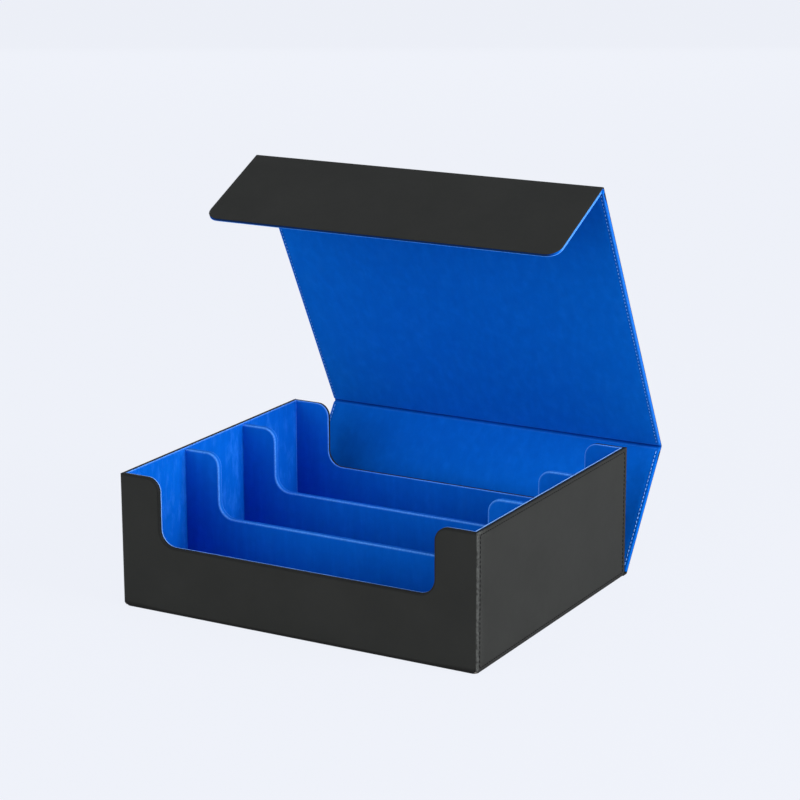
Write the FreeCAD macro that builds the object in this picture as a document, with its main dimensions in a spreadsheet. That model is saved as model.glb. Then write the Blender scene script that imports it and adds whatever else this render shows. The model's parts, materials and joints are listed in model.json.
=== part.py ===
import FreeCAD, Part
import os
import Sketcher

# A trading card storage box: an open tray split into three rows by two notched dividers,
# under a cover of three stiff panels (rear, top, flap) that folds on leather hinges.
# The frame: +X to the right, the front at -Y, +Z up, and the origin on the table under
# the middle of the tray. The cover stands open, which is its rest pose.

os.makedirs("parts", exist_ok=True)
doc = FreeCAD.newDocument("trading_card_box")

# ---------------------------------------------------------------- driving dimensions
# alias, value in millimetres or degrees, what it is
SIZES = [
    ("tray_width", 312, "outer width of the tray and of the cover, along X"),
    ("tray_depth", 256, "outer depth of the tray, along Y"),
    ("tray_height", 108, "outer height of the tray"),
    ("leather_thickness", 0.9, "outer leather sheet"),
    ("board_thickness", 2.0, "greyboard of the walls and of the cover"),
    ("lining_thickness", 1.1, "suede lining"),
    ("base_corner_radius", 4, "rounded front corners of the base skin"),
    ("notch_width", 241, "clear width of the finger notch in walls and dividers"),
    ("notch_depth", 53.5, "depth of the notch below the top of the tray"),
    ("notch_top_radius", 11, "rounding of the posts beside the notch"),
    ("notch_floor_radius", 13, "rounding of the notch's lower corners"),
    ("divider_board_thickness", 2.8, "greyboard inside a divider"),
    ("divider_drop", 1.0, "how far a divider stays below the top of the tray"),
    ("lid_clearance", 0.7, "closed cover above the tray"),
    ("rear_clearance", 0.8, "closed rear panel behind the tray"),
    ("flap_clearance", 1.0, "closed flap in front of the tray"),
    ("flap_length", 88, "flap from its hinge axis to its free edge"),
    ("flap_corner_radius", 11, "rounded free corners of the flap"),
    ("fold_clearance", 0.45, "room between two linings that meet in a closed fold"),
    ("hinge_clearance", 0.3, "room between a hinge's rounded edge and the next skin"),
    ("rear_lean_angle", 35.3, "rear panel from the vertical, leaning back, at rest"),
    ("top_fold_angle", 62.8, "fold between rear and top panel at rest; 90 is closed"),
    ("flap_fold_angle", 88.5, "fold between top panel and flap at rest; 90 is closed"),
    ("seam_inset", 4.5, "seam from the front and rear edges of a tray side"),
    ("seam_edge_height", 2.8, "seam from the lower and upper edges of a tray side"),
    ("cover_seam_inset", 2.4, "seam from the edge of a cover panel"),
    ("thread_width", 0.6, "sewing thread"),
    ("thread_depth", 0.3, "how deep the thread lies in its sheet"),
    ("magnet_radius", 6, "closing magnets"),
    ("magnet_clearance", 0.1, "room round a magnet in its board"),
    ("magnet_spacing", 180, "between the two magnets of a pair"),
    ("magnet_inset", 16, "magnets from the free edge of the flap"),
]

sheet = doc.addObject("Spreadsheet::Sheet", "sizes")
for row, (alias, value, meaning) in enumerate(SIZES, start=1):
    sheet.set(f"A{row}", alias)
    sheet.set(f"B{row}", str(value))
    sheet.set(f"C{row}", meaning)
    sheet.setAlias(f"B{row}", alias)
doc.recompute()


ALIASES = {alias for alias, _, _ in SIZES}
UP = FreeCAD.Vector(0, 0, 1)


def size(expression):
    """An expression of aliases and numbers, with the sheet's name before each alias."""
    words = ["sizes." + word if word in ALIASES else word for word in expression.split()]
    return "(" + " ".join(words) + ")"


def number(expression):
    """The value of an expression as the sheet stands now."""
    return float(sheet.evalExpression(expression))


# ---------------------------------------------------------------- worked-out sizes
HALF_WIDTH = size("tray_width / 2")
HALF_DEPTH = size("tray_depth / 2")
HEIGHT = size("tray_height")
LEATHER = size("leather_thickness")
BOARD = size("board_thickness")
LINING = size("lining_thickness")
WALL = size("leather_thickness + board_thickness + lining_thickness")
SKIN_AND_BOARD = size("leather_thickness + board_thickness")
NOTCH_HALF = size("notch_width / 2")
NOTCH_FLOOR = size("tray_height - notch_depth")
DIVIDER = size("divider_board_thickness + 2 * lining_thickness")
ROW_NAMES = ("front", "middle", "rear")
DIVIDER_NAMES = ("front_divider", "rear_divider")
ROW = (f"((2 * {HALF_DEPTH} - 2 * {WALL} - {len(DIVIDER_NAMES)} * {DIVIDER})"
       f" / {len(ROW_NAMES)})")

# The hinge axes run in the middle of the leather's thickness.
AXIS_DEPTH = size("leather_thickness / 2")
BASE_AXIS_Y = f"({HALF_DEPTH} + {size('rear_clearance')} + {WALL} - {AXIS_DEPTH})"
BASE_AXIS_Z = AXIS_DEPTH
REAR_LENGTH = f"({HEIGHT} + {size('lid_clearance')} + {WALL} - {AXIS_DEPTH} - {BASE_AXIS_Z})"
TOP_LENGTH = (f"({BASE_AXIS_Y} + {HALF_DEPTH} + {size('flap_clearance')}"
              f" + {WALL} - {AXIS_DEPTH})")
FLAP_LENGTH = size("flap_length")
PANEL_START = f"({WALL} - {AXIS_DEPTH} + {size('fold_clearance')})"
SKIN_START = f"({AXIS_DEPTH} + {size('hinge_clearance')})"

REAR_ANGLE = size("0 - rear_lean_angle")
TOP_ANGLE = size("top_fold_angle - rear_lean_angle")
FLAP_ANGLE = size("flap_fold_angle + top_fold_angle - rear_lean_angle")
TOP_AXIS_Y = f"({BASE_AXIS_Y} - {REAR_LENGTH} * sin({REAR_ANGLE}))"
TOP_AXIS_Z = f"({BASE_AXIS_Z} + {REAR_LENGTH} * cos({REAR_ANGLE}))"
FLAP_AXIS_Y = f"({TOP_AXIS_Y} - {TOP_LENGTH} * sin({TOP_ANGLE}))"
FLAP_AXIS_Z = f"({TOP_AXIS_Z} + {TOP_LENGTH} * cos({TOP_ANGLE}))"

# The wall's magnets lie behind those of the closed flap.
FLAP_MAGNET_REACH = f"({FLAP_LENGTH} - {size('magnet_inset')})"
WALL_MAGNET_HEIGHT = f"({BASE_AXIS_Z} + {REAR_LENGTH} - {FLAP_MAGNET_REACH})"
MAGNET_SIDES = {"left": size("0 - magnet_spacing / 2"), "right": size("magnet_spacing / 2")}

ABOUT_X = "1; 0; 0"
ABOUT_Y = "0; 1; 0"
ABOUT_Z = "0; 0; 1"
QUARTER_TURN = "90"


def placement(x="0", y="0", z="0", axis=ABOUT_Z, angle="0"):
    return f"placement(vector({x}; {y}; {z}); rotation(vector({axis}); {angle}))"


# A tray wall's frame has its X along the wall, Y into the box from the outer face and Z up.
FRONT_WALL = placement(y=f"-{HALF_DEPTH}")
REAR_WALL = placement(y=HALF_DEPTH, angle=f"2 * {QUARTER_TURN}")
LEFT_WALL = placement(x=f"-{HALF_WIDTH}", angle=f"-{QUARTER_TURN}")
RIGHT_WALL = placement(x=HALF_WIDTH, angle=QUARTER_TURN)

# The base skin lies flat under the tray. In its frame Z runs to the rear and Y down.
FLAT = placement(z=AXIS_DEPTH, axis=ABOUT_X, angle=f"-{QUARTER_TURN}")

# A cover panel's frame has its origin on its hinge axis, X along it, Z along the panel
# away from it and Y out of the box when the cover is closed.
REAR_PANEL = placement(y=BASE_AXIS_Y, z=BASE_AXIS_Z, axis=ABOUT_X, angle=REAR_ANGLE)
TOP_PANEL = placement(y=TOP_AXIS_Y, z=TOP_AXIS_Z, axis=ABOUT_X, angle=TOP_ANGLE)
FLAP_PANEL = placement(y=FLAP_AXIS_Y, z=FLAP_AXIS_Z, axis=ABOUT_X, angle=FLAP_ANGLE)


# ---------------------------------------------------------------- outlines
# An outline is a list of edges that turn by right angles. Each edge is
# (direction it is fixed in, where, radius of the corner at its end or None).
def rectangle(left, right, bottom, top, low_radius=None, high_radius=None):
    return [
        ("z", bottom, low_radius),
        ("x", right, high_radius),
        ("z", top, high_radius),
        ("x", left, low_radius),
    ]


def plate(half_width, bottom, top):
    return rectangle(f"-{half_width}", half_width, bottom, top)


def notched(half_width, bottom, top, inset="0"):
    """A wall with the finger notch, all its upper edges set back by an inset."""
    side = f"({NOTCH_HALF} + {inset})"
    top_radius = f"({size('notch_top_radius')} - {inset})"
    floor_radius = f"({size('notch_floor_radius')} + {inset})"
    return [
        ("z", bottom, None),
        ("x", half_width, None),
        ("z", f"({top} - {inset})", top_radius),
        ("x", side, floor_radius),
        ("z", f"({NOTCH_FLOOR} - {inset})", floor_radius),
        ("x", f"-{side}", top_radius),
        ("z", f"({top} - {inset})", None),
        ("x", f"-{half_width}", None),
    ]


def flap_outline(inset="0", start=PANEL_START):
    """The flap from a start line to its free edge, set back by an inset."""
    side = f"({HALF_WIDTH} - {inset})"
    radius = f"({size('flap_corner_radius')} - {inset})"
    return [
        ("z", start, None),
        ("x", side, radius),
        ("z", f"({FLAP_LENGTH} - {inset})", radius),
        ("x", f"-{side}", None),
    ]


def add_loop(sketch, edges):
    """Draw one closed outline and tie each edge and radius to its expression."""
    first = sketch.GeometryCount
    count = len(edges)
    places = [number(where) for _, where, _ in edges]
    corners = []
    for index, (direction, _, _) in enumerate(edges):
        here = places[index]
        there = places[(index + 1) % count]
        pair = (here, there) if direction == "x" else (there, here)
        corners.append(FreeCAD.Vector(*pair, 0))
    radii = [number(radius) if radius else 0 for _, _, radius in edges]
    for index in range(count):
        start = corners[index - 1]
        end = corners[index]
        along = (end - start).normalize()
        start = start + along * radii[index - 1]
        end = end - along * radii[index]
        sketch.addGeometry(Part.LineSegment(start, end), False)
    for index, (direction, where, radius) in enumerate(edges):
        line = first + index
        following = first + (index + 1) % count
        level = "Vertical" if direction == "x" else "Horizontal"
        distance = "DistanceX" if direction == "x" else "DistanceY"
        sketch.addConstraint(Sketcher.Constraint(level, line))
        tie(sketch, Sketcher.Constraint(distance, -1, 1, line, 1, places[index]), where)
        if radius:
            add_corner(sketch, line, following, corners[index], radii[index], radius)
        else:
            sketch.addConstraint(Sketcher.Constraint("Coincident", line, 2, following, 1))


def add_corner(sketch, line, following, corner, value, radius):
    """Join two edges by a tangent arc."""
    start = sketch.getPoint(line, 2)
    end = sketch.getPoint(following, 1)
    centre = start + end - corner
    middle = centre + (corner - centre).normalize() * value
    arc = sketch.addGeometry(Part.Arc(start, middle, end), False)
    first_end = 1 if (sketch.getPoint(arc, 1) - start).Length < value / 2 else 2
    sketch.addConstraint(Sketcher.Constraint("Tangent", line, 2, arc, first_end))
    sketch.addConstraint(Sketcher.Constraint("Tangent", following, 1, arc, 3 - first_end))
    tie(sketch, Sketcher.Constraint("Radius", arc, value), radius)


def tie(sketch, constraint, expression):
    """Add a dimension and bind it to its expression."""
    index = sketch.addConstraint(constraint)
    name = f"size_{index}"
    sketch.renameConstraint(index, name)
    sketch.setExpression(f"Constraints.{name}", expression)


# ---------------------------------------------------------------- building blocks
PIECES = []


def keep(piece, name):
    piece.Label = name
    PIECES.append(piece)
    return piece


def draw(body, loops, level):
    """A sketch of one or more loops in the body's XZ plane, at a level along Y."""
    plane = next(f for f in body.Origin.OriginFeatures if f.Role == "XZ_Plane")
    sketch = body.newObject("Sketcher::SketchObject", body.Name + "_sketch")
    sketch.AttachmentSupport = [(plane, "")]
    sketch.MapMode = "FlatFace"
    sketch.setExpression("AttachmentOffset.Base.z", f"0 - {level}")
    for edges in loops:
        add_loop(sketch, edges)
    return sketch


def pad(body, loops, start, thickness):
    """Add a sheet of an outline, from a level along Y towards +Y."""
    feature = body.newObject("PartDesign::Pad", body.Name + "_pad")
    feature.Profile = draw(body, loops, start)
    feature.setExpression("Length", thickness)
    feature.Reversed = True
    doc.recompute()


def pocket(body, loops, start, depth):
    """Cut outlines out of the body, from a level along Y towards +Y."""
    cut(body, draw(body, loops, start), depth)


def cut(body, sketch, depth):
    """Pocket a sketch and make sure that it took material away."""
    before = body.Shape.Volume
    feature = body.newObject("PartDesign::Pocket", body.Name + "_pocket")
    feature.Profile = sketch
    feature.setExpression("Length", depth)
    doc.recompute()
    if body.Shape.Volume >= before:
        raise RuntimeError(f"{body.Label}: a pocket cut nothing")


def new_body(name, where):
    body = keep(doc.addObject("PartDesign::Body", name), name)
    body.setExpression("Placement", where)
    return body


def sheet_piece(name, edges, start, thickness, where):
    """A flat piece: one outline of one thickness."""
    body = new_body(name, where)
    pad(body, [edges], start, thickness)
    return body


def add_circle(sketch, x, z, radius):
    """A circle tied to its centre and radius."""
    centre = FreeCAD.Vector(number(x), number(z), 0)
    circle = sketch.addGeometry(Part.Circle(centre, UP, number(radius)), False)
    tie(sketch, Sketcher.Constraint("DistanceX", -1, 1, circle, 3, centre.x), x)
    tie(sketch, Sketcher.Constraint("DistanceY", -1, 1, circle, 3, centre.y), z)
    tie(sketch, Sketcher.Constraint("Radius", circle, number(radius)), radius)


def magnet_hole(body, x, z, start):
    """A round hole through a board for a magnet."""
    sketch = draw(body, [], start)
    add_circle(sketch, x, z, size("magnet_radius + magnet_clearance"))
    cut(body, sketch, BOARD)


def magnet(name, x, z, start, where):
    """A disc that fills the thickness of the board round it."""
    body = new_body(name, where)
    sketch = draw(body, [], start)
    add_circle(sketch, x, z, size("magnet_radius"))
    feature = body.newObject("PartDesign::Pad", name + "_pad")
    feature.Profile = sketch
    feature.setExpression("Length", BOARD)
    feature.Reversed = True
    doc.recompute()


def box(name, left, right, front, rear, bottom, top):
    """A plain block between six planes."""
    block = keep(doc.addObject("Part::Box", name), name)
    block.setExpression("Length", f"{right} - {left}")
    block.setExpression("Width", f"{rear} - {front}")
    block.setExpression("Height", f"{top} - {bottom}")
    block.setExpression("Placement", placement(left, front, bottom))


def hinge_skin(name, edges, axis_y, axis_z, where):
    """A leather sheet that ends in a rounded edge along the next hinge's axis."""
    body = doc.addObject("PartDesign::Body", name + "_sheet")
    body.setExpression("Placement", where)
    pad(body, [edges], f"(0 - {AXIS_DEPTH})", LEATHER)
    edge = doc.addObject("Part::Cylinder", name + "_edge")
    edge.setExpression("Radius", AXIS_DEPTH)
    edge.setExpression("Height", f"2 * {HALF_WIDTH}")
    edge.setExpression("Placement", placement(f"-{HALF_WIDTH}", axis_y, axis_z,
                                              ABOUT_Y, QUARTER_TURN))
    skin = keep(doc.addObject("Part::Fuse", name), name)
    skin.Base = body
    skin.Tool = edge
    skin.Refine = True


# ---------------------------------------------------------------- tray: boards
EDGE_SIDE = f"({HALF_WIDTH} - {LEATHER})"
EDGE_FRONT = f"({HALF_DEPTH} - {LEATHER})"
BOARD_SIDE = f"({HALF_WIDTH} - {SKIN_AND_BOARD})"
BOARD_FRONT = f"({HALF_DEPTH} - {SKIN_AND_BOARD})"
INNER_SIDE = f"({HALF_WIDTH} - {WALL})"
INNER_FRONT = f"({HALF_DEPTH} - {WALL})"
BOARD_TOP = f"({HEIGHT} - {LEATHER})"

box("base_board", f"-{EDGE_SIDE}", EDGE_SIDE, f"-{EDGE_FRONT}", EDGE_FRONT,
    LEATHER, SKIN_AND_BOARD)
for name, where in (("front", FRONT_WALL), ("rear", REAR_WALL)):
    outline = notched(EDGE_SIDE, SKIN_AND_BOARD, HEIGHT, LEATHER)
    board = sheet_piece(f"{name}_board", outline, LEATHER, BOARD, where)
    if name == "front":
        for side in MAGNET_SIDES.values():
            magnet_hole(board, side, WALL_MAGNET_HEIGHT, LEATHER)
for name, where in (("left", LEFT_WALL), ("right", RIGHT_WALL)):
    outline = plate(BOARD_FRONT, SKIN_AND_BOARD, BOARD_TOP)
    sheet_piece(f"{name}_board", outline, LEATHER, BOARD, where)

# ---------------------------------------------------------------- tray: leather skins
hinge_skin("base_skin",
           rectangle(f"-{HALF_WIDTH}", HALF_WIDTH, f"-{HALF_DEPTH}", BASE_AXIS_Y,
                     size("base_corner_radius")),
           BASE_AXIS_Y, BASE_AXIS_Z, FLAT)

# The front and rear skins are turned in over the upper edges of their boards.
for name, where in (("front", FRONT_WALL), ("rear", REAR_WALL)):
    skin = sheet_piece(f"{name}_skin", notched(EDGE_SIDE, LEATHER, HEIGHT),
                       "0", SKIN_AND_BOARD, where)
    pocket(skin, [notched(EDGE_SIDE, LEATHER, HEIGHT, LEATHER)], LEATHER, BOARD)


def ring(half_width, bottom, top, width):
    """The outer and inner loop of a seam, centred on a rectangle."""
    half = f"({width} / 2)"
    return [
        plate(f"({half_width} + {half})", f"({bottom} - {half})", f"({top} + {half})"),
        plate(f"({half_width} - {half})", f"({bottom} + {half})", f"({top} - {half})"),
    ]


# The side skins cover the ends of the front and rear skins, and a seam runs round them.
SEAM = size("seam_inset")
SEAM_HEIGHT = size("seam_edge_height")
THREAD_WIDTH = size("thread_width")
THREAD_DEPTH = size("thread_depth")
for name, where in (("left", LEFT_WALL), ("right", RIGHT_WALL)):
    skin = sheet_piece(f"{name}_skin", plate(HALF_DEPTH, LEATHER, HEIGHT),
                       "0", LEATHER, where)
    pad(skin, [plate(BOARD_FRONT, BOARD_TOP, HEIGHT)], LEATHER, BOARD)
    seam = ring(f"({HALF_DEPTH} - {SEAM})", f"({LEATHER} + {SEAM_HEIGHT})",
                f"({HEIGHT} - {SEAM_HEIGHT})", THREAD_WIDTH)
    pocket(skin, seam, "0", THREAD_DEPTH)
    thread = new_body(f"{name}_side_thread", where)
    pad(thread, seam, "0", THREAD_DEPTH)

# ---------------------------------------------------------------- tray: suede linings
for name, where in (("front", FRONT_WALL), ("rear", REAR_WALL)):
    sheet_piece(f"{name}_lining", notched(BOARD_SIDE, SKIN_AND_BOARD, HEIGHT),
                SKIN_AND_BOARD, LINING, where)
for name, where in (("left", LEFT_WALL), ("right", RIGHT_WALL)):
    sheet_piece(f"{name}_lining", plate(INNER_FRONT, SKIN_AND_BOARD, HEIGHT),
                SKIN_AND_BOARD, LINING, where)
for index, name in enumerate(ROW_NAMES):
    row_front = f"({index} * ({ROW} + {DIVIDER}) - {INNER_FRONT})"
    box(f"{name}_row_floor_lining", f"-{INNER_SIDE}", INNER_SIDE,
        row_front, f"({row_front} + {ROW})", SKIN_AND_BOARD, WALL)

# ---------------------------------------------------------------- tray: dividers
DIVIDER_TOP = f"({HEIGHT} - {size('divider_drop')})"
DIVIDER_BOARD = size("divider_board_thickness")
for index, name in enumerate(DIVIDER_NAMES):
    start = f"({WALL} + {ROW} + {index} * ({ROW} + {DIVIDER}))"
    middle = f"({start} + {LINING})"
    inner = notched(f"({INNER_SIDE} - {LINING})", SKIN_AND_BOARD, DIVIDER_TOP, LINING)
    cover = sheet_piece(f"{name}_cover", notched(INNER_SIDE, SKIN_AND_BOARD, DIVIDER_TOP),
                        start, DIVIDER, FRONT_WALL)
    pocket(cover, [inner], middle, DIVIDER_BOARD)
    sheet_piece(f"{name}_board", inner, middle, DIVIDER_BOARD, FRONT_WALL)

# ---------------------------------------------------------------- cover
COVER_SIDE = f"({HALF_WIDTH} - {LINING})"
BOARD_LEVEL = f"(0 - {AXIS_DEPTH} - {BOARD})"
LINING_LEVEL = f"(0 - {AXIS_DEPTH} - {BOARD} - {LINING})"
COVER_SEAM = size("cover_seam_inset")


def strip(side, length):
    """The seam along one side of a rear or top panel; side is -1 or 1."""
    middle = f"({side} * ({HALF_WIDTH} - {COVER_SEAM}))"
    end = f"({PANEL_START} + {THREAD_WIDTH})"
    return rectangle(f"({middle} - {THREAD_WIDTH} / 2)", f"({middle} + {THREAD_WIDTH} / 2)",
                     end, f"({length} - {end})")


def flap_seam():
    """One seam along the flap's three free edges, open at the fold."""
    outer = f"({COVER_SEAM} - {THREAD_WIDTH} / 2)"
    inner = f"({COVER_SEAM} + {THREAD_WIDTH} / 2)"
    start = f"({PANEL_START} + {THREAD_WIDTH})"
    around = flap_outline(outer)
    back = flap_outline(inner)
    return [
        ("z", start, None),
        around[1],
        around[2],
        around[3],
        ("z", start, None),
        ("x", f"(0 - {HALF_WIDTH} + {inner})", back[2][2]),
        back[2],
        ("x", f"({HALF_WIDTH} - {inner})", None),
    ]


for name, length, where, axis_y, axis_z in (
        ("rear_cover", REAR_LENGTH, REAR_PANEL, TOP_AXIS_Y, TOP_AXIS_Z),
        ("top_cover", TOP_LENGTH, TOP_PANEL, FLAP_AXIS_Y, FLAP_AXIS_Z)):
    outer = plate(HALF_WIDTH, PANEL_START, f"({length} - {PANEL_START})")
    inner = plate(COVER_SIDE, f"({PANEL_START} + {LINING})",
                  f"({length} - {PANEL_START} - {LINING})")
    sheet_piece(f"{name}_board", inner, BOARD_LEVEL, BOARD, where)
    hinge_skin(f"{name}_skin", plate(HALF_WIDTH, SKIN_START, length), axis_y, axis_z, where)
    lining = sheet_piece(f"{name}_lining", outer, LINING_LEVEL, f"({BOARD} + {LINING})", where)
    pocket(lining, [inner], BOARD_LEVEL, BOARD)
    for side, word in ((-1, "left"), (1, "right")):
        seam = strip(side, length)
        pocket(lining, [seam], LINING_LEVEL, THREAD_DEPTH)
        sheet_piece(f"{name}_{word}_thread", seam, LINING_LEVEL, THREAD_DEPTH, where)

flap_inner = flap_outline(LINING, f"({PANEL_START} + {LINING})")
flap_board = sheet_piece("flap_board", flap_inner, BOARD_LEVEL, BOARD, FLAP_PANEL)
sheet_piece("flap_skin", flap_outline(start=SKIN_START), f"(0 - {AXIS_DEPTH})", LEATHER,
            FLAP_PANEL)
flap_lining = sheet_piece("flap_lining", flap_outline(), LINING_LEVEL,
                          f"({BOARD} + {LINING})", FLAP_PANEL)
pocket(flap_lining, [flap_inner], BOARD_LEVEL, BOARD)
pocket(flap_lining, [flap_seam()], LINING_LEVEL, THREAD_DEPTH)
sheet_piece("flap_thread", flap_seam(), LINING_LEVEL, THREAD_DEPTH, FLAP_PANEL)

# ---------------------------------------------------------------- magnets
for word, side in MAGNET_SIDES.items():
    magnet(f"{word}_wall_magnet", side, WALL_MAGNET_HEIGHT, LEATHER, FRONT_WALL)
    magnet_hole(flap_board, side, FLAP_MAGNET_REACH, BOARD_LEVEL)
    magnet(f"{word}_flap_magnet", side, FLAP_MAGNET_REACH, BOARD_LEVEL, FLAP_PANEL)

# ---------------------------------------------------------------- checks and files
doc.recompute()
for item in doc.Objects:
    if "Invalid" in item.State or "Error" in item.State:
        raise RuntimeError(f"{item.Label} failed: {item.State}")
for piece in PIECES:
    shape = piece.Shape
    if shape.isNull() or not shape.isValid():
        raise RuntimeError(f"{piece.Label} has no valid shape")
    if len(shape.Solids) != 1:
        raise RuntimeError(f"{piece.Label} is {len(shape.Solids)} solids")
    shape.exportStep(f"parts/{piece.Label}.step")

print(len(PIECES), "pieces")
for name, axis_y, axis_z in (("rear hinge", BASE_AXIS_Y, BASE_AXIS_Z),
                             ("top hinge", TOP_AXIS_Y, TOP_AXIS_Z),
                             ("flap hinge", FLAP_AXIS_Y, FLAP_AXIS_Z)):
    print(f"{name}: y {number(axis_y):.4f} z {number(axis_z):.4f}")
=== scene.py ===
# A trading card box with its folding cover open: black leather outside, blue suede inside.
# Lengths in the dictionaries are millimetres, angles are degrees.
import json
import math

import bmesh
import bpy
import numpy as np
from mathutils import Matrix, Vector


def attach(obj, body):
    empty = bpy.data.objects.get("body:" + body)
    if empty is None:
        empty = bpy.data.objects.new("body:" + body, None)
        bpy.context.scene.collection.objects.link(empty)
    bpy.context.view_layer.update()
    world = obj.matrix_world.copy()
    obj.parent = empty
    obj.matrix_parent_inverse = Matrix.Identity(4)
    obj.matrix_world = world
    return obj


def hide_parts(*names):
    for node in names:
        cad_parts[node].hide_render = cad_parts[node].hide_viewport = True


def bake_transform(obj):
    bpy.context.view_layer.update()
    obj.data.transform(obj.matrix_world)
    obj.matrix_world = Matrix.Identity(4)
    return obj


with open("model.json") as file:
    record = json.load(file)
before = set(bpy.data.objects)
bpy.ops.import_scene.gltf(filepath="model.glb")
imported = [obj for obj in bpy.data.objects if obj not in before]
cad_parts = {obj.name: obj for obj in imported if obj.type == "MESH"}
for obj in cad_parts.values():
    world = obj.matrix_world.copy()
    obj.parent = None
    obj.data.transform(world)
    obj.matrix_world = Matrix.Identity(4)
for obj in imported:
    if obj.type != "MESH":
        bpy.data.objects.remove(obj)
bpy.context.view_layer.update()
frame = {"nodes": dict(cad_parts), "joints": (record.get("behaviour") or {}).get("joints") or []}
mm = 0.001
hingeAt = {joint["name"]: np.array(joint["pos_m"][1:]) / mm for joint in frame["joints"]}

tray = {
    "halfWidth": 156.0, "halfDepth": 128.0, "height": 108.0,
    "leather": 0.9, "board": 2.0, "lining": 1.1,
}
sheetAndBoard = tray["leather"] + tray["board"]
wallThickness = sheetAndBoard + tray["lining"]
innerX = tray["halfWidth"] - wallThickness
innerY = tray["halfDepth"] - wallThickness
notch = {
    "half": 120.5, "floor": 54.5, "topRadius": 11.0, "floorRadius": 13.0,
    "spacing": 8.0, "arcSteps": 10, "footSpread": 4.0, "endColumns": 9,
}


# A frame says where a piece lies: its own (across, depth, along) in world millimetres.
def makeFrame(origin, across, depth, along):
    return {"origin": np.array(origin, float), "axes": np.array([across, depth, along], float)}


def toWorld(frameOf, local):
    # origin + across * first axis + depth * second axis + along * third axis
    return frameOf["origin"] + np.asarray(local, float) @ frameOf["axes"]


def panelFrame(hinge, angle):
    # depth 0 is the leather's outer face, half a sheet outside the hinge axis
    turn = math.radians(angle)
    outward = np.array([0, math.cos(turn), math.sin(turn)])
    along = (0, -math.sin(turn), math.cos(turn))
    axis = np.array([0, *hinge])
    return makeFrame(axis + outward * tray["leather"] / 2, (1, 0, 0), -outward, along)


wallFrames = {
    "front": makeFrame((0, -tray["halfDepth"], 0), (1, 0, 0), (0, 1, 0), (0, 0, 1)),
    "rear": makeFrame((0, tray["halfDepth"], 0), (-1, 0, 0), (0, -1, 0), (0, 0, 1)),
    "left": makeFrame((-tray["halfWidth"], 0, 0), (0, -1, 0), (1, 0, 0), (0, 0, 1)),
    "right": makeFrame((tray["halfWidth"], 0, 0), (0, 1, 0), (-1, 0, 0), (0, 0, 1)),
}
# starts are distances from a hinge
cover = {"flapRadius": 11.0, "liningStart": 0.8, "boardStart": 5.1, "leatherStart": 6.0}
angleOf = {"tray": -90.0, "rear_cover": -35.3, "top_cover": 27.5, "flap": 116.0}  # 0 upright


meshing = {"mergeWithin": 0.0001, "sharpAngle": 50.0, "leastRadius": 0.02}


def makePiece(name, points, faces, wearAndShading, material, facing=None):
    # points in world mm; faces are index rows or single rings; one number a point for wear,
    # fray, painted highlight and painted shade
    mesh = bpy.data.meshes.new(name)
    rows = [face for block in faces for face in np.atleast_2d(block).tolist()]
    mesh.from_pydata((np.asarray(points) * mm).tolist(), [], rows)
    mesh.attributes.new("wearAndShading", "FLOAT", "POINT").data.foreach_set(
        "value", np.asarray(wearAndShading, np.float32))
    shell = bmesh.new()
    shell.from_mesh(mesh)
    within = meshing["mergeWithin"] * mm
    bmesh.ops.remove_doubles(shell, verts=shell.verts, dist=within)
    bmesh.ops.dissolve_degenerate(shell, edges=shell.edges, dist=within)
    if facing is None:
        bmesh.ops.recalc_face_normals(shell, faces=shell.faces)
    else:
        total = sum((f.normal * f.calc_area() for f in shell.faces), Vector())
        if total.dot(Vector(facing)) < 0:
            bmesh.ops.reverse_faces(shell, faces=shell.faces)
    shell.to_mesh(mesh)
    shell.free()
    mesh.polygons.foreach_set("use_smooth", np.ones(len(mesh.polygons), bool))
    mesh.set_sharp_from_angle(angle=math.radians(meshing["sharpAngle"]))
    mesh.materials.append(material)
    piece = bpy.data.objects.new(name, mesh)
    bpy.context.scene.collection.objects.link(piece)
    return piece


def thicken(piece, thickness):
    # the sheet's outer face stays, its back is set in by the thickness
    solid = piece.modifiers.new("thickness", "SOLIDIFY")
    solid.thickness = thickness * mm
    solid.offset = -1
    bpy.context.view_layer.objects.active = piece
    with bpy.context.temp_override(object=piece, active_object=piece):
        bpy.ops.object.modifier_apply(modifier=solid.name)
    piece.data.set_sharp_from_angle(angle=math.radians(meshing["sharpAngle"]))
    return piece


def gridFaces(rows, columns, closed=False, keep=None):
    # quads of a grid of points; a closed grid joins its last column to its first
    across = np.arange(columns if closed else columns - 1)
    if keep is not None:
        across = across[keep[across]]
    up = np.arange(rows - 1)[:, None] * columns
    nextOne = (across + 1) % columns
    return np.stack([up + across, up + nextOne, up + columns + nextOne, up + columns + across],
                    axis=-1).reshape(-1, 4)


def tubeFaces(rows, columns):
    # a closed grid, with one face over each of its two ends
    end = np.arange(columns)
    return [gridFaces(rows, columns, closed=True), end[::-1], end + (rows - 1) * columns]


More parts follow.
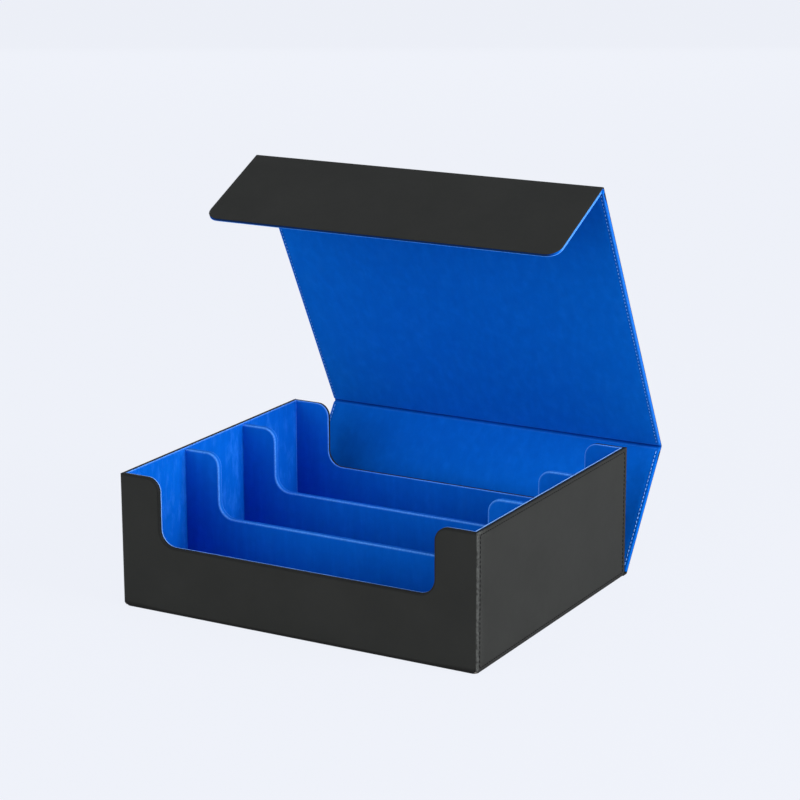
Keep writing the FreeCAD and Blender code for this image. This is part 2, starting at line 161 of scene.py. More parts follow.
def outline(edges, insets, spacing=12.0, arcSteps=8):
    # A right-angled outline, each edge (axis it is fixed on, place, radius after it, role,
    # and where needed its share of the insets and its tone: painted highlight above zero,
    # painted shade below). A free edge moves in by each inset. A round corner is a quarter
    # turn: centre + start * cos(t) + finish * sin(t).
    insets = np.atleast_1d(np.asarray(insets, float))
    count = len(edges)
    places = np.array([edge[1] for edge in edges], float)

    def cornersOf(at):
        # of an edge and the next one, one gives the corner's x and the other its z
        nextPlace = np.roll(at, -1, axis=-1)
        onX = np.array([edge[0] == "x" for edge in edges])
        return np.stack([np.where(onX, at, nextPlace), np.where(onX, nextPlace, at)], axis=-1)

    corners = cornersOf(places)
    along = corners - np.roll(corners, 1, axis=0)
    along /= np.linalg.norm(along, axis=1)[:, None]
    inward = np.stack([-along[:, 1], along[:, 0]], axis=-1).sum(axis=1)
    free = np.array([edge[4] if len(edge) > 4 else edge[3] == "free" for edge in edges], float)
    corners = cornersOf(places + insets[:, None] * (inward * free))
    ahead = np.roll(along, -1, axis=0)
    bends = np.sign(along[:, 0] * ahead[:, 1] - along[:, 1] * ahead[:, 0])  # 1 turns left
    radii = np.array([edge[2] for edge in edges], float)
    radii = np.where(radii > 0,
                     np.maximum(radii - insets[:, None] * bends, meshing["leastRadius"]), 0)
    tones = [edge[5] if len(edge) > 5 else 0.0 for edge in edges]
    pieces, starts, onFold, tone, total = [], [], [], [], 0
    for k in range(count):
        begin = corners[:, k - 1] + along[k] * radii[:, k - 1, None]
        end = corners[:, k] - along[k] * radii[:, k, None]
        steps = max(1, round(float(np.linalg.norm(end[0] - begin[0])) / spacing))
        steps = 1 if edges[k][3] == "fold" else steps  # a fold stays one straight edge
        share = (np.arange(steps) / steps)[:, None]
        line = begin[:, None] + (end - begin)[:, None] * share
        starts.append(total)
        pieces.append(line)
        onFold += [edges[k][3] == "fold"] * steps
        tone += [tones[k]] * steps
        total += steps
        if edges[k][2] > 0:
            following = (k + 1) % count
            centre = end + along[following] * radii[:, k, None]
            turn = np.arange(arcSteps)[:, None] / arcSteps * math.pi / 2
            start = -along[following] * radii[:, k, None]
            finish = along[k] * radii[:, k, None]
            pieces.append(centre[:, None] + start[:, None] * np.cos(turn)
                          + finish[:, None] * np.sin(turn))
            onFold += [False] * arcSteps
            tone += np.linspace(tones[k], tones[following], arcSteps).tolist()
            total += arcSteps
    return np.concatenate(pieces, axis=1), starts, np.array(onFold), np.array(tone)


def runLengths(path):
    # how far along its path each point lies
    return np.r_[0, np.cumsum(np.linalg.norm(np.diff(path, axis=0), axis=1))]


def rounded(radius, steps=4):
    # a quarter circle as rows (inset, depth), from the flat face to the edge:
    # radius - radius * sin(t), radius - radius * cos(t)
    turn = np.linspace(0, math.pi / 2, steps + 1)
    return (radius - radius * np.stack([np.sin(turn), np.cos(turn)], axis=-1)).tolist()


def plate(name, frameOf, edges, profile, material, facing=None):
    # One ring of the outline per profile row (inset, depth, wear, share of the edge's tone),
    # joined in a loft; wear and tone carry painted highlight and painted shade too. A plate has
    # both flat faces; with a facing it is a single surface that looks that way and is open at
    # its folds.
    profile = np.array([(*row, 0.0)[:4] for row in profile], float)
    rings, _, onFold, tone = outline(edges, profile[:, 0])
    count, size = rings.shape[:2]
    depth = np.broadcast_to(profile[:, 1, None], (count, size))
    local = np.stack([rings[..., 0], depth, rings[..., 1]], axis=-1).reshape(-1, 3)
    faces = tubeFaces(count, size)
    if facing is not None:
        faces = [gridFaces(count, size, closed=True, keep=~onFold), faces[1]]
    wearAndShading = (profile[:, 2, None] + profile[:, 3, None] * tone).reshape(-1)
    return makePiece(name, toWorld(frameOf, local), faces, wearAndShading, material, facing)


def rectangle(left, right, low, high):
    # from the lower edge round by the right one
    return [("z", low, 0, "free"), ("x", right, 0, "free"),
            ("z", high, 0, "free"), ("x", left, 0, "free")]


def notchedOutline(halfWidth, low, high, cutSides="free"):
    # the same way round, and through the notch from right to left
    return [
        ("z", low, 0, cutSides), ("x", halfWidth, 0, cutSides),
        ("z", high, notch["topRadius"], "free"),
        ("x", notch["half"], notch["floorRadius"], "free"),
        ("z", notch["floor"], notch["floorRadius"], "free"),
        ("x", -notch["half"], notch["topRadius"], "free"),
        ("z", high, 0, "free"), ("x", -halfWidth, 0, cutSides),
    ]


def notchedRows(halfWidth, low, high, insets):
    # the upper edge of a notched wall at each inset, right to left, with the points below it:
    # each post stands on its own stretch of the foot, and so does the notch between them
    edges = notchedOutline(halfWidth, low, high, "cut")
    rings, starts, *_ = outline(edges, insets, notch["spacing"], notch["arcSteps"])
    path = rings[:, starts[2]:starts[7] + 1]
    run = runLengths(path[0])
    ends = run[[0, starts[4] - notch["arcSteps"] - starts[2], starts[5] - starts[2], -1]]
    foot = notch["half"] + notch["footSpread"]
    below = np.interp(run, ends, [halfWidth, foot, -foot, -halfWidth])
    last = path.shape[1] - 1
    close = np.linspace(0, 1, notch["endColumns"])  # close columns, for rounded ends
    at = np.r_[close[:-1], np.arange(1, last), last - close[-2::-1]]
    first = np.minimum(at.astype(int), last - 1)
    part = at - first
    path = path[:, first] * (1 - part)[:, None] + path[:, first + 1] * part[:, None]
    below = below[first] * (1 - part) + below[first + 1] * part
    return path, below


def wallSheet(name, frameOf, halfWidth, low, high, section, material, thickness, facing,
              corner=0.0):
    # A sheet that stands on its lower edge and turns over the notched upper one.
    # section rows: inset of the upper edge, share of the height, lift, depth, wear;
    # a point is foot + (upper edge - foot) * share. Its lower corners are quarter circles.
    section = np.asarray(section, float)
    path, below = notchedRows(halfWidth, low, high, section[:, 0])
    over = np.clip(np.abs(below) - (halfWidth - corner), 0, corner)
    rise = corner - np.sqrt(corner ** 2 - over ** 2)
    foot = np.stack([np.broadcast_to(below, path.shape[:2]),
                     low + section[:, 2, None] + rise], axis=-1)
    line = foot + (path - foot) * section[:, 1, None, None]
    depth = np.broadcast_to(section[:, 3, None], path.shape[:2])
    local = np.stack([line[..., 0], depth, line[..., 1]], axis=-1)
    wearAndShading = np.repeat(section[:, 4], local.shape[1])
    piece = makePiece(name, toWorld(frameOf, local.reshape(-1, 3)),
                      [gridFaces(*local.shape[:2])], wearAndShading, material, facing)
    return thicken(piece, thickness)


def shaderTree(name):
    # a new material, its nodes and its main shader
    material = bpy.data.materials.new(name)
    material.use_nodes = True
    tree = material.node_tree
    return material, tree, tree.nodes["Principled BSDF"]


def colour(red, green, blue):
    # an 8-bit screen colour as the shader's linear one
    screen = np.array([red, green, blue]) / 255
    linear = np.where(screen <= 0.04045, screen / 12.92, ((screen + 0.055) / 1.055) ** 2.4)
    return (*linear.tolist(), 1.0)


def addNode(tree, kind, **settings):
    # a setting is the value of an input, or else a property of the node
    node = tree.nodes.new(kind)
    for key, value in settings.items():
        if key in node.inputs:
            node.inputs[key].default_value = value
        else:
            setattr(node, key, value)
    return node


def stretched(tree, scale=(1.0, 1.0, 1.0)):
    # object coordinates, scaled along each axis, so a pattern runs with the nap
    place = addNode(tree, "ShaderNodeTexCoord")
    mapping = addNode(tree, "ShaderNodeMapping", Scale=scale)
    tree.links.new(place.outputs["Object"], mapping.inputs["Vector"])
    return mapping.outputs["Vector"]


def noise(tree, vector, scale, detail=4.0, roughness=0.55):
    # soft clouds from 0 to 1
    node = addNode(tree, "ShaderNodeTexNoise", Scale=scale, Detail=detail, Roughness=roughness)
    tree.links.new(vector, node.inputs["Vector"])
    return node.outputs["Fac"]


def ramp(tree, factor, stops):
    # stops are (position, colour), the first two the ramp's own ends
    node = addNode(tree, "ShaderNodeValToRGB")
    elements = node.color_ramp.elements
    for index, (position, value) in enumerate(stops):
        element = elements[index] if index < 2 else elements.new(position)
        element.position = position
        element.color = value
    tree.links.new(factor, node.inputs["Fac"])
    return node.outputs["Color"]


def remap(tree, factor, old, new):
    # the range old, a pair, becomes the range new
    node = addNode(tree, "ShaderNodeMapRange")
    for key, value in zip(("From Min", "From Max", "To Min", "To Max"), (*old, *new)):
        node.inputs[key].default_value = value
    tree.links.new(factor, node.inputs["Value"])
    return node.outputs["Result"]


def mixColours(tree, factor, first, second):
    # factor 0 gives the first colour, 1 the second; each is a value or a socket
    node = addNode(tree, "ShaderNodeMix", data_type="RGBA")
    for socket, value in (("Factor_Float", factor), ("A_Color", first), ("B_Color", second)):
        target = next(s for s in node.inputs if s.identifier == socket)
        if isinstance(value, (tuple, float)):
            target.default_value = value
        else:
            tree.links.new(value, target)
    return next(s for s in node.outputs if s.identifier == "Result_Color")


def combine(tree, operation, first, second, clamp=False):
    # two values added, multiplied or compared, kept within 0 to 1 if asked
    node = addNode(tree, "ShaderNodeMath", operation=operation, use_clamp=clamp)
    tree.links.new(first, node.inputs[0])
    tree.links.new(second, node.inputs[1])
    return node.outputs[0]


def bump(tree, height, distance, strength, previous=None):
    # a relief, laid over the previous one
    node = addNode(tree, "ShaderNodeBump", Distance=distance, Strength=strength)
    tree.links.new(height, node.inputs["Height"])
    if previous is not None:
        tree.links.new(previous, node.inputs["Normal"])
    return node.outputs["Normal"]


def wearAndShadingOf(tree):
    # the number for wear, fray, painted highlight and painted shade that makePiece kept at each
    # point
    node = addNode(tree, "ShaderNodeAttribute", attribute_name="wearAndShading")
    return node.outputs["Fac"]


leatherLook = {  # patterns in cells per metre; a bump is its depth in metres and its strength
    # the lighter edge colour is edge wear with a painted highlight; the near black one is a
    # painted shade
    "dark": colour(45, 46, 45), "light": colour(48, 49, 48), "wearAndLightTone": colour(81, 83, 82),
    "paintedShade": colour(10, 10, 10), "roughness": (0.62, 0.66), "shine": 0.05,
    "tones": 22.0, "scuffAndHighlightNoise": 480.0, "gloss": 160.0,
    "grain": 1300.0, "grainBump": (0.00006, 0.35),
    "wrinkles": 420.0, "wrinkleBump": (0.00003, 0.2),
}


def makeLeather():
    # fine pebble grain of small cells, over a faint uneven tone
    look = leatherLook
    material, tree, shader = shaderTree("blackLeather")
    plain = stretched(tree)
    tone = noise(tree, plain, look["tones"], detail=5.0)
    base = ramp(tree, tone, [(0.35, look["dark"]), (0.68, look["light"])])
    wearAndShading = wearAndShadingOf(tree)
    scuffAndHighlightNoise = remap(tree, noise(tree, plain, look["scuffAndHighlightNoise"]), (0.38, 0.6), (0.1, 1.0))
    # lighter in noisy patches where the number is above zero: edge wear with a painted
    # highlight, mostly along the sides' front edges
    base = mixColours(tree, combine(tree, "MULTIPLY", wearAndShading, scuffAndHighlightNoise, True), base, look["wearAndLightTone"])
    # near black where the number is below zero: painted shade at the feet, upper arrises,
    # turn-ins, seams and the sides' other edges
    base = mixColours(tree, remap(tree, wearAndShading, (0.0, -1.0), (0.0, 1.0)), base, look["paintedShade"])
    tree.links.new(base, shader.inputs["Base Color"])
    gloss = remap(tree, noise(tree, plain, look["gloss"]), (0.3, 0.7), look["roughness"])
    tree.links.new(gloss, shader.inputs["Roughness"])
    cells = addNode(tree, "ShaderNodeTexVoronoi", feature="SMOOTH_F1", Scale=look["grain"])
    tree.links.new(plain, cells.inputs["Vector"])
    normal = bump(tree, cells.outputs["Distance"], *look["grainBump"])
    wrinkles = noise(tree, plain, look["wrinkles"], detail=3.0)
    normal = bump(tree, wrinkles, *look["wrinkleBump"], normal)
    tree.links.new(normal, shader.inputs["Normal"])
    shader.inputs["Specular IOR Level"].default_value = look["shine"]
    return material


suedeLook = {  # patterns in cells per metre, the two of the nap across and along it
    "deep": colour(0, 97, 205), "mid": colour(0, 101, 210), "light": colour(5, 107, 218),
    # the two light blues are fuzzy fibres with a painted highlight along edges; the two darkest
    # colours are painted shade
    "brushed": colour(40, 128, 238), "frayedAndLit": colour(88, 160, 255),
    "paleFrayAndHighlight": colour(176, 214, 255), "recessShade": colour(0, 50, 140), "glueAndDeepShade": colour(18, 35, 56),
    "sheen": colour(10, 130, 255), "sheenWeight": 0.2, "sheenRoughness": 0.45,
    "roughness": 0.92, "shine": 0.04, "streaks": (150.0, 16.0), "marks": (120.0, 38.0),
    "mottle": 130.0, "mottleBump": (0.0003, 0.15),
    "fibres": 2600.0, "fibreBump": (0.00012, 0.45), "fuzz": 700.0,
}


def napNoise(tree, along, scales, **settings):
    # noise drawn out along one axis
    scale = [scales[0]] * 3
    scale[along] = scales[1]
    return noise(tree, stretched(tree, scale), 1.0, **settings)


def makeSuede(name, along, brushing):
    # Nap brushed along one axis (0 for x, 2 for z): long streaks, mottling, fine fibres
    # and, where the brushing is strong, short lighter marks.
    look = suedeLook
    material, tree, shader = shaderTree(name)
    plain = stretched(tree)
    streaks = napNoise(tree, along, look["streaks"], detail=3.0)
    mottle = noise(tree, plain, look["mottle"], detail=6.0, roughness=0.7)
    halves = [remap(tree, pattern, (0.3, 0.7), (0.0, 0.5)) for pattern in (streaks, mottle)]
    tones = [(0.1, look["deep"]), (0.9, look["light"]), (0.5, look["mid"])]
    base = ramp(tree, combine(tree, "ADD", *halves), tones)
    fibres = noise(tree, plain, look["fibres"], detail=2.0)
    base = mixColours(tree, remap(tree, fibres, (0.5, 0.75), (0.0, 0.35)), base,
                      look["light"])
    marks = napNoise(tree, along, look["marks"], detail=5.0, roughness=0.7)
    base = mixColours(tree, remap(tree, marks, (0.5, 0.68), (0.0, brushing)), base,
                      look["brushed"])
    # wear and painted light: up to 1 fray with a painted highlight, to 2 paler, down to -1
    # painted shade, to -2 a deeper painted shade
    wearAndShading = wearAndShadingOf(tree)
    fuzz = noise(tree, plain, look["fuzz"], detail=2.0)
    frayedAndLit = combine(tree, "MULTIPLY", remap(tree, wearAndShading, (0.0, 1.0), (0.0, 1.0)),
                     remap(tree, fuzz, (0.35, 0.6), (0.55, 1.0)), True)
    base = mixColours(tree, frayedAndLit, base, look["frayedAndLit"])
    for wearAndLightTone, strength, tint in (((1.0, 2.0), 1.0, "paleFrayAndHighlight"), ((0.0, -1.0), 0.8, "recessShade"),
                                 ((-1.0, -2.0), 1.0, "glueAndDeepShade")):
        base = mixColours(tree, remap(tree, wearAndShading, wearAndLightTone, (0.0, strength)), base, look[tint])
    tree.links.new(base, shader.inputs["Base Color"])
    shader.inputs["Roughness"].default_value = look["roughness"]
    shader.inputs["Specular IOR Level"].default_value = look["shine"]
    shader.inputs["Sheen Weight"].default_value = look["sheenWeight"]
    shader.inputs["Sheen Roughness"].default_value = look["sheenRoughness"]
    shader.inputs["Sheen Tint"].default_value = look["sheen"]
    normal = bump(tree, fibres, *look["fibreBump"])
    normal = bump(tree, mottle, *look["mottleBump"], normal)
    tree.links.new(normal, shader.inputs["Normal"])
    return material


fineLooks = {  # one noise for each: its cells per metre, detail, grit and range, its tones
    "blackThread": {
        "cells": 1800.0, "detail": 2.0, "grit": 0.55, "range": (0.35, 0.65),
        "dark": colour(14, 14, 15), "light": colour(26, 26, 27),
        "roughness": 0.85, "shine": 0.1, "bump": (0.00005, 0.4),
    },
    "greyBoard": {
        "cells": 900.0, "detail": 4.0, "grit": 0.7, "range": (0.3, 0.7),
        "dark": colour(112, 108, 102), "light": colour(156, 152, 145),
        "roughness": 0.95, "shine": 0.5, "bump": (0.00008, 0.4),
    },
    "platedMagnet": {
        "cells": 1500.0, "detail": 3.0, "grit": 0.55, "range": (0.3, 0.7),
        "dark": colour(168, 170, 172), "light": colour(196, 198, 200), "metal": 1.0,
        "roughness": (0.25, 0.4), "shine": 0.5, "bump": (0.00002, 0.2),
    },
}
fineLooks["blueThread"] = fineLooks["blackThread"] | {
    "dark": colour(84, 156, 250), "light": colour(150, 204, 255),
}


def makeFine(name):
    # twisted yarn, flecked board and plated steel: one fine noise for tone and relief
    look = fineLooks[name]
    material, tree, shader = shaderTree(name)
    grain = noise(tree, stretched(tree), look["cells"], look["detail"], look["grit"])
    tones = list(zip(look["range"], (look["dark"], look["light"])))
    tree.links.new(ramp(tree, grain, tones), shader.inputs["Base Color"])
    if isinstance(look["roughness"], tuple):
        gloss = remap(tree, grain, look["range"], look["roughness"])
        tree.links.new(gloss, shader.inputs["Roughness"])
    else:
        shader.inputs["Roughness"].default_value = look["roughness"]
    shader.inputs["Specular IOR Level"].default_value = look["shine"]
    shader.inputs["Metallic"].default_value = look.get("metal", 0.0)
    tree.links.new(bump(tree, grain, *look["bump"]), shader.inputs["Normal"])
    return material


leather = makeLeather()
suede = makeSuede("blueSuede", 2, 0.1)
sideSuede = makeSuede("blueSuedeSide", 2, 0.6)
floorSuede = makeSuede("blueSuedeFloor", 0, 0.1)
blackThread = makeFine("blackThread")
blueThread = makeFine("blueThread")
greyBoard = makeFine("greyBoard")
platedMagnet = makeFine("platedMagnet")
print("materials made")


def finishPiece(piece, body, slotName, *nodes):
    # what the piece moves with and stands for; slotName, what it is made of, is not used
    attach(piece, body)
    if nodes:
        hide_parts(*nodes)


skin = {
    "arris": 0.9, "band": 1.2, "foot": 0.9, "footSteps": 5, "corner": 3.0,
    "seamInset": 4.5, "seamHeight": 2.8, "seamDepth": 0.18, "puff": 0.06,
    "sideArris": 0.7, "turnIn": 0.3, "cornerGap": 0.05,
    # painted shade on the foot, the upper arris and the turned-in strip
    "footShade": -0.6, "arrisWearAndShading": -0.4, "turnInShade": -0.5,
    # the tone painted on each edge of a side: a painted highlight along the front, painted shade
    # along the rear, upper and lower edges
    "sideLightAndShade": {"front": 1.5, "rear": -0.35, "upper": -0.2, "lower": -0.5},
}


def turnedSection():
    # Rows of a leather sheet over a wall: the foot rounded under it, the face, a flat band
    # that keeps the shading of the round arris near the edge, the arris, the turned-in strip.
    foot, arris = skin["foot"], skin["arris"]
    # the foot, the arris and the turned-in strip are darkened with painted shade
    rows = [(arris, 0.0, foot * (1 - math.cos(t)), foot * (1 - math.sin(t)),
             skin["footShade"])
            for t in np.linspace(0, math.pi / 2, skin["footSteps"]).tolist()]
    band = arris + skin["band"]
    rows += [(band, share, foot, 0.0, 0.0) for share in (0.03, 0.3, 0.6, 0.9, 1.0)]
    rows += [(inset, 1.0, foot, depth, skin["arrisWearAndShading"])
             for inset, depth in rounded(arris)]
    rows.append((0.0, 1.0, foot, sheetAndBoard, skin["turnInShade"]))
    return rows


def sideProfile():
    # Rows (inset, depth, wear and painted shade, share of the edge's painted tone) of a side's
    # leather, from the flat face over the sunk seam, darkened with painted shade, and the
    # swelling beside it to the arris; nearer the edge a row takes more of the edge's painted
    # tone.
    seam = skin["seamInset"]
    rows = [(12.0, 0.0, 0.0, 0.0), (seam + 2.0, 0.0, 0.0, 0.1), (seam + 1.0, 0.04, 0.0, 0.2),
            (seam + 0.4, 0.16, -0.1, 0.1), (seam, skin["seamDepth"], -0.2, 0.0),
            (seam - 0.4, 0.16, -0.1, 0.1), (seam - 1.0, 0.0, 0.0, 0.2),
            (seam - 2.2, -skin["puff"], 0.0, 0.5), (1.4, -0.03, 0.0, 0.6)]
    rows += [(inset, depth, 0.0, 1.0)
             for inset, depth in rounded(skin["sideArris"])]
    back = tray["leather"]
    return rows + [(0.0, back, 0.0, 1.0), (skin["turnIn"], back, 0.0, 1.0)]


def makeSide(side):
    # the outer sheet of a side and the strip turned in over its board
    frameOf, reach = wallFrames[side], tray["halfDepth"]
    low, high = tray["leather"], tray["height"]
    tones, corner = skin["sideLightAndShade"], skin["corner"]
    seamShare = skin["seamHeight"] / skin["seamInset"]
    far, near = ("rear", "front") if side == "right" else ("front", "rear")
    # the front edge lightened with a painted highlight, the others darkened with painted shade
    outer = plate(f"leather_{side}_wall", frameOf,
                  [("z", low, corner, "free", seamShare, tones["lower"]),
                   ("x", reach, 0, "free", 1.0, tones[far]),
                   ("z", high, 0, "free", seamShare, tones["upper"]),
                   ("x", -reach, corner, "free", 1.0, tones[near])],
                  sideProfile(), leather)
    # the turned-in strip is darkened with painted shade
    turn, wearAndLightTone = skin["turnIn"], skin["turnInShade"]
    halfRun = tray["halfDepth"] - sheetAndBoard
    lip = plate(f"leather_{side}_turn_in", frameOf,
                rectangle(-halfRun, halfRun, high - tray["leather"], high),
                [(turn, sheetAndBoard, wearAndLightTone), (0.0, sheetAndBoard - turn, wearAndLightTone),
                 (0.0, tray["leather"], wearAndLightTone), (turn, tray["leather"], wearAndLightTone)], leather)
    for piece in (outer, lip):
        finishPiece(piece, "tray", "black_leather", f"{side}_skin")


def makeEnd(side):
    # the outer sheet of the front or the rear, turned in over its notched board
    frameOf, thick = wallFrames[side], tray["leather"]
    piece = wallSheet(f"leather_{side}_wall", frameOf, tray["halfWidth"] - thick,
                      thick, tray["height"], turnedSection(), leather,
                      thick, -frameOf["axes"][1], skin["corner"])
    finishPiece(piece, "tray", "black_leather", f"{side}_skin")


sheet = {"flat": 3.0, "arris": 0.45, "arrisWearAndShading": 0.05, "baseGap": 0.8, "baseRadius": 4.0}


def sheetRows():
    # rows (inset, depth, wear) of a loose sheet: flat, round over its edge, a touch lighter
    # there with edge wear and a painted highlight, flat behind
    flat, arris, back = sheet["flat"], sheet["arris"], tray["leather"]
    rows = [(flat, 0.0, 0.0)]
    rows += [(inset, depth, sheet["arrisWearAndShading"]) for inset, depth in rounded(arris)]
    rows += [(inset, back - depth, 0.0) for inset, depth in rounded(arris, 3)[-2::-1]]
    return rows + [(flat, back, 0.0)]


def makeBase():
    # the base sheet, from the tray's front edge to the fold behind it
    gap, radius = sheet["baseGap"], sheet["baseRadius"]
    front = -(hingeAt["rear_hinge"][0] + tray["halfDepth"] - gap)
    edges = [("z", front, radius, "free"), ("x", tray["halfWidth"] - gap, 0, "free"),
             ("z", -cover["leatherStart"], 0, "fold"),
             ("x", -tray["halfWidth"] + gap, radius, "free")]
    base = plate("leather_base", panelFrame(hingeAt["rear_hinge"], angleOf["tray"]), edges,
                 sheetRows(), leather)
    finishPiece(base, "tray", "black_leather", "base_skin")


ball = {"rows": 13, "columns": 20}


def makeCorners():
    # The leather folded together inside each rounded lower corner, a ball
    # centre + radius * (sin v cos u, sin v sin u, cos v) whose poles close by merging.
    u = np.arange(ball["columns"]) / ball["columns"] * 2 * math.pi
    v = np.linspace(0, math.pi, ball["rows"])[:, None]
    shape = np.stack([np.sin(v) * np.cos(u), np.sin(v) * np.sin(u), np.cos(v) + 0 * u], axis=-1)
    faces = [gridFaces(ball["rows"], ball["columns"], closed=True)]
    corner = skin["corner"]
    x, y = tray["halfWidth"] - corner, tray["halfDepth"] - corner
    for depthName, ySide in (("front", -1), ("rear", 1)):
        for sideName, xSide in (("left", -1), ("right", 1)):
            centre = np.array([xSide * x, ySide * y, tray["leather"] + corner])
            points = (centre + (corner - skin["cornerGap"]) * shape).reshape(-1, 3)
            piece = makePiece(f"leather_{depthName}_{sideName}_corner", points, faces,
                              np.zeros(len(points)), leather)
            finishPiece(piece, "tray", "black_leather")


makeEnd("front")
makeEnd("rear")
makeSide("left")
makeSide("right")
makeBase()
makeCorners()
print("tray leather made")


lining = {
    "arris": 0.3, "arrisSteps": 3, "glueGap": 0.1, "glueEdgeWearAndHighlight": 0.7,
    # each lining's top edge lightened with fray and a painted highlight, brightest on the right;
    # the glued back edge the same
    "frayAndHighlight": {"front": 1.35, "rear": 1.1, "left": 1.1, "right": 1.7},
}


def liningProfile(frayAndHighlight):
    # rows (inset, depth, wear): the visible face, its frayed edge lightened with a painted
    # highlight, then the glued back
    back, front, gap = sheetAndBoard, wallThickness, lining["glueGap"]
    rows = [(9.0, front, 0.0), (1.4, front, 0.0), (0.7, front, 0.15)]
    rows += [(inset, front - depth, frayAndHighlight)
             for inset, depth in rounded(lining["arris"], lining["arrisSteps"])]
    return rows + [(0.0, back + gap, frayAndHighlight), (gap, back, lining["glueEdgeWearAndHighlight"]), (2.0, back, 0.0)]


def makeLinings():
    # one lining inside each wall, the front and the rear one notched as their walls are
    notched = notchedOutline(innerX + tray["lining"], sheetAndBoard, tray["height"])
    plain = rectangle(-innerY, innerY, sheetAndBoard, tray["height"])
    for side, edges, material in (("front", notched, suede), ("rear", notched, suede),
                                  ("left", plain, sideSuede), ("right", plain, sideSuede)):
        piece = plate(f"suede_{side}_wall", wallFrames[side], edges,
                      liningProfile(lining["frayAndHighlight"][side]), material)
        finishPiece(piece, "tray", "blue_suede", f"{side}_lining")


dividers = {
    "thickness": 5.0, "arris": 1.2, "arrisSteps": 6, "band": 0.7, "drop": 1.0,
    "frayAndHighlight": 1.0, "frayAndHighlightTurn": (0.35, 2.9),
}
rowDepth = (2 * innerY - 2 * dividers["thickness"]) / 3
rowPitch = rowDepth + dividers["thickness"]
floorProfile = [  # inset, depth, wear and painted shade
    (8.0, 0.0, 0.0), (1.5, 0.0, 0.0), (0.5, 0.05, -0.2), (0.1, 0.4, -0.5),
    (0.0, tray["lining"], -0.5), (0.3, tray["lining"], 0.0),
]


def makeFloors():
    # one sheet on the floor of each row, sunk where it meets the walls and darkened there with
    # painted shade
    half = rowDepth / 2
    for index, name in enumerate(("front", "middle", "rear")):
        middle = -innerY + half + index * rowPitch
        floorFrame = makeFrame((0, middle, wallThickness), (1, 0, 0), (0, 0, -1), (0, 1, 0))
        piece = plate(f"suede_{name}_row_floor", floorFrame,
                      rectangle(-innerX, innerX, -half, half), floorProfile, floorSuede)
        finishPiece(piece, "tray", "blue_suede", f"{name}_row_floor_lining")


def makeDividers():
    # a sheet up one face, over the notched edge and down the other; the round edge is
    # lightened with fray and a painted highlight, fray * sin(t)
    radius, thick = dividers["arris"], dividers["thickness"]
    turn = rounded(radius, dividers["arrisSteps"])
    frayAndHighlight = np.sin(np.linspace(*dividers["frayAndHighlightTurn"], len(turn))) * dividers["frayAndHighlight"]
    for index, name in enumerate(("front_divider", "rear_divider")):
        start = wallThickness + rowDepth + index * rowPitch
        rise = [(radius + dividers["band"], share, 0.0, start, 0.0)
                for share in (0.0, 0.1, 0.4, 0.8, 1.0)]
        rise += [(inset, 1.0, 0.0, start + depth, wearAndShading)
                 for (inset, depth), wearAndShading in zip(turn, frayAndHighlight.tolist())]
        fall = [(*row[:3], 2 * start + thick - row[3], row[4]) for row in rise[::-1]]
        section = rise + [(0.0, 1.0, 0.0, start + thick / 2, 0.0)] + fall
        piece = wallSheet(f"suede_{name}", wallFrames["front"], innerX, sheetAndBoard,
                          tray["height"] - dividers["drop"], section, suede,
                          tray["lining"], (0, 0, 1))
        finishPiece(piece, "tray", "blue_suede", f"{name}_cover")


makeLinings()
makeFloors()
makeDividers()
print("linings and dividers made")


hem = {
    "seamInset": 2.4, "dip": 0.5, "arris": 0.9, "arrisSteps": 5, "cornerRadius": 1.1,
    "sideFade": 0.2, "glueGap": 0.05,
    # rims lightened with fray and a painted highlight, most on the flap; the flap's far rim
    # darkened with a deep painted shade
    "rimFrayAndHighlight": {"rear_cover": 0.0, "top_cover": 0.15, "flap": 0.9}, "flapRimShade": -2.7,
}
hemRows = [  # inset from the edge, dip below the flat face, wear and painted shade in the sunk seam
    (12.0, 0.0, 0.0), (6.5, 0.0, 0.0), (5.0, 0.05, 0.0), (3.8, 0.16, -0.1),
    (3.0, 0.36, -0.35), (hem["seamInset"], 0.5, -0.55), (1.9, 0.46, -0.3), (1.3, 0.47, 0.0),
]
rimRows = [(inset, hem["dip"] + dip)
           for inset, dip in rounded(hem["arris"], hem["arrisSteps"])]
halfWidth = tray["halfWidth"]
glueDepth = tray["leather"] + hem["glueGap"]


def coverProfile(wearAndLightTone):
    # the flat face, the sunk seam, the rounded rim and its side, the rim lightened with fray and
    # a painted highlight as asked
    sideTop = wallThickness - hem["dip"] - hem["arris"] - hem["sideFade"]
    rows = [(inset, wallThickness - dip, wearAndShading) for inset, dip, wearAndShading in hemRows]
    rows += [(inset, wallThickness - dip, wearAndLightTone) for inset, dip in rimRows]
    return rows + [(0.0, sideTop, wearAndLightTone, 1.0), (0.0, glueDepth, wearAndLightTone, 1.0)]


panels = {
    "rear_cover": {"hinge": "rear_hinge", "length": 111.8},
    "top_cover": {"hinge": "top_hinge", "length": 264.9},
    "flap": {"hinge": "flap_hinge", "length": 88.0},
}


